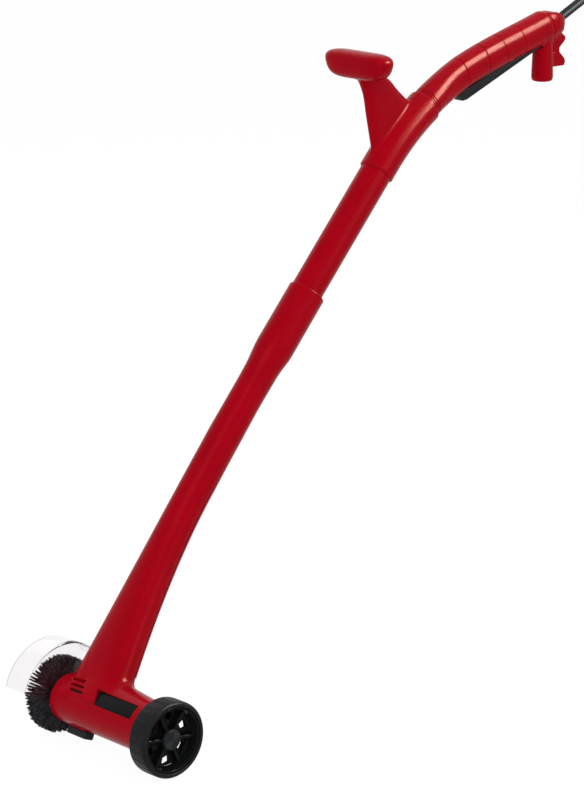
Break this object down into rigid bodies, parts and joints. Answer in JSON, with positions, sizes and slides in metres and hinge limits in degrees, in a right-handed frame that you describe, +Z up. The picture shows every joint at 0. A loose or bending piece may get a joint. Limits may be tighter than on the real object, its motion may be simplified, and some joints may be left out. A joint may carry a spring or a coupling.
{
  "type": "electric patio cleaner",
  "caption": "Electric patio cleaner: round brush under a clear guard, crosswise motor barrel, support wheel, long leaning stem with a cross grip and a rear grip with a switch lever.",
  "frame": {"origin": "on the ground, below the middle of the machine's box without its lead", "axes": "+X back towards the user and along the handle, +Y towards the brush side, +Z up"},
  "size_m": [1.0424, 0.2462, 0.864],
  "materials": {
    "red_housing": "gloss",
    "black_plastic": "satin",
    "gloss_black": "gloss",
    "tyre_rubber": "matte",
    "lead_rubber": "matte",
    "nylon_bristle": "satin",
    "steel": "satin",
    "copper": "satin",
    "clear_guard": "gloss",
    "graphite": "matte",
    "pale_plastic": "satin"
  },
  "bodies": {
    "housing": {"housing_front_shell": "red_housing", "housing_rear_shell": "red_housing", "middle_tube": "red_housing", "aux_handle_left": "red_housing", "aux_handle_right": "red_housing", "grip_left_shell": "red_housing", "grip_right_shell": "red_housing", "name_plate": "gloss_black", "lock_spring": "steel", "brush_guard": "clear_guard", "guard_screw_1": "steel", "guard_screw_2": "steel", "spindle_bearing_1": "steel", "spindle_bearing_2": "steel", "ring_gear": "steel", "motor_plate": "steel", "motor_can": "steel", "magnet_1": "graphite", "magnet_2": "graphite", "motor_end_cap": "black_plastic", "carbon_brush_1": "graphite", "carbon_brush_2": "graphite", "rectifier_board": "pale_plastic", "axle_bolt": "steel", "axle_washer": "steel", "lever_pin": "steel", "lever_spring": "steel", "switch_body": "black_plastic", "capacitor": "pale_plastic", "inner_lead": "lead_rubber", "cord_clamp": "black_plastic", "strain_relief": "lead_rubber", "mains_lead": "lead_rubber", "plug": "lead_rubber", "housing_screw_1": "steel", "housing_screw_2": "steel", "housing_screw_3": "steel", "grip_screw": "steel", "fin_screw": "steel"},
    "spindle": {"spindle": "steel", "brush_hub": "black_plastic", "bristles_1": "nylon_bristle", "bristles_2": "nylon_bristle", "bristles_3": "nylon_bristle", "bristles_4": "nylon_bristle", "clamp_flange": "steel", "clamp_nut": "steel", "planet_carrier": "steel"},
    "armature": {"armature_core": "steel", "motor_shaft": "steel", "commutator": "copper"},
    "planet_1": {"planet_gear_1": "steel"},
    "planet_2": {"planet_gear_2": "steel"},
    "planet_3": {"planet_gear_3": "steel"},
    "wheel": {"wheel_tyre": "tyre_rubber", "wheel_rim": "gloss_black", "hub_cap": "black_plastic"},
    "lever": {"switch_lever": "black_plastic"},
    "plunger": {"switch_plunger": "pale_plastic"},
    "lock": {"lock_button": "black_plastic"}
  },
  "joints": [
    {"name": "brush_spin", "type": "hinge", "parent": "housing", "child": "spindle", "pos_m": [-0.40433, 0.0981, 0.05], "axis": [0, 1, 0], "continuous": true},
    {"name": "armature_spin", "type": "hinge", "parent": "housing", "child": "armature", "pos_m": [-0.40433, 0.0081, 0.05], "axis": [0, 1, 0], "continuous": true},
    {"name": "planet_spin_1", "type": "hinge", "parent": "spindle", "child": "planet_1", "pos_m": [-0.40433, 0.0541, 0.0635], "axis": [0, 1, 0], "continuous": true},
    {"name": "planet_spin_2", "type": "hinge", "parent": "spindle", "child": "planet_2", "pos_m": [-0.41602, 0.0541, 0.04325], "axis": [0, 1, 0], "continuous": true},
    {"name": "planet_spin_3", "type": "hinge", "parent": "spindle", "child": "planet_3", "pos_m": [-0.39264, 0.0541, 0.04325], "axis": [0, 1, 0], "continuous": true},
    {"name": "wheel_spin", "type": "hinge", "parent": "housing", "child": "wheel", "pos_m": [-0.40433, -0.1079, 0.048], "axis": [0, 1, 0], "continuous": true},
    {"name": "lever_squeeze", "type": "hinge", "parent": "housing", "child": "lever", "pos_m": [0.37817, 0.0481, 0.79525], "axis": [0, 1, 0], "range_deg": [0, 4.3], "stiffness_Nm_per_rad": 8, "springref_deg": -2.86, "deforming": ["lever_spring"]},
    {"name": "plunger_slide", "type": "slide", "parent": "housing", "child": "plunger", "axis": [-0.309, 0, 0.9511], "range_m": [0, 0.0046]},
    {"name": "lock_press", "type": "slide", "parent": "housing", "child": "lock", "axis": [0.3746, 0, 0.9272], "range_m": [0, 0.0036], "stiffness_N_per_m": 1500, "springref_m": -0.002, "deforming": ["lock_spring"]}
  ],
  "couplings": [
    {"joint": "armature_spin", "follows": "brush_spin", "ratio": 6},
    {"joint": "planet_spin_1", "follows": "brush_spin", "ratio": -2.5},
    {"joint": "planet_spin_2", "follows": "brush_spin", "ratio": -2.5},
    {"joint": "planet_spin_3", "follows": "brush_spin", "ratio": -2.5},
    {"joint": "plunger_slide", "follows": "lever_squeeze", "m_per_rad": 0.059}
  ]
}
